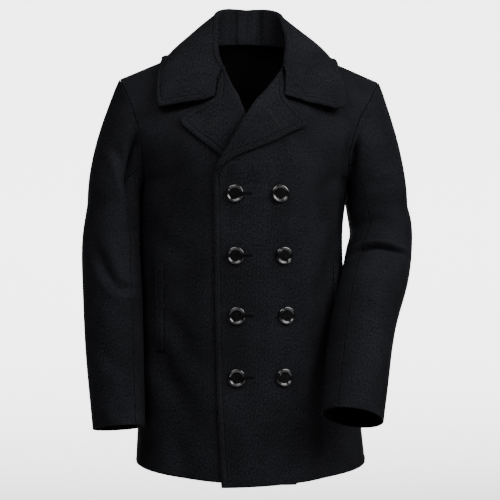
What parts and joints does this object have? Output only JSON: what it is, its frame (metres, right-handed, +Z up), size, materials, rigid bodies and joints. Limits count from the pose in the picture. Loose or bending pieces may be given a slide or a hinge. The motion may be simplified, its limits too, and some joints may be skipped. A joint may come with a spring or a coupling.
{
  "type": "pea coat",
  "caption": "Double-breasted pea coat of heavy black wool, filled out as worn with no wearer, with a wide collar, notched lapels and rimmed buttons",
  "frame": {"origin": "middle of the neck's base, level with the points where the shoulder seams meet the neck; the wearer's shoulders hold the coat there", "axes": "+Z up, the front faces -Y, the wearer's left is +X"},
  "size_m": [0.5943, 0.3828, 0.8476],
  "materials": {
    "melton": "heavy felted wool melton, matt with a short soft nap",
    "lining": "smooth black twill lining",
    "button": "glossy black with a raised rim and a plain sunk middle"
  },
  "bodies": {
    "root": {"front_left": "melton", "front_right": "melton", "back_left": "melton", "back_right": "melton", "back_lining": "lining", "upper_sleeve_left": "melton", "under_sleeve_left": "melton", "upper_sleeve_right": "melton", "under_sleeve_right": "melton", "collar": "melton", "lapel_left": "melton", "lapel_right": "melton", "pocket_welt_left": "melton", "pocket_welt_right": "melton", "button_right_1": "button", "button_left_1": "button", "button_right_2": "button", "button_left_2": "button", "button_right_3": "button", "button_left_3": "button", "button_right_4": "button", "button_left_4": "button"}
  },
  "joints": []
}
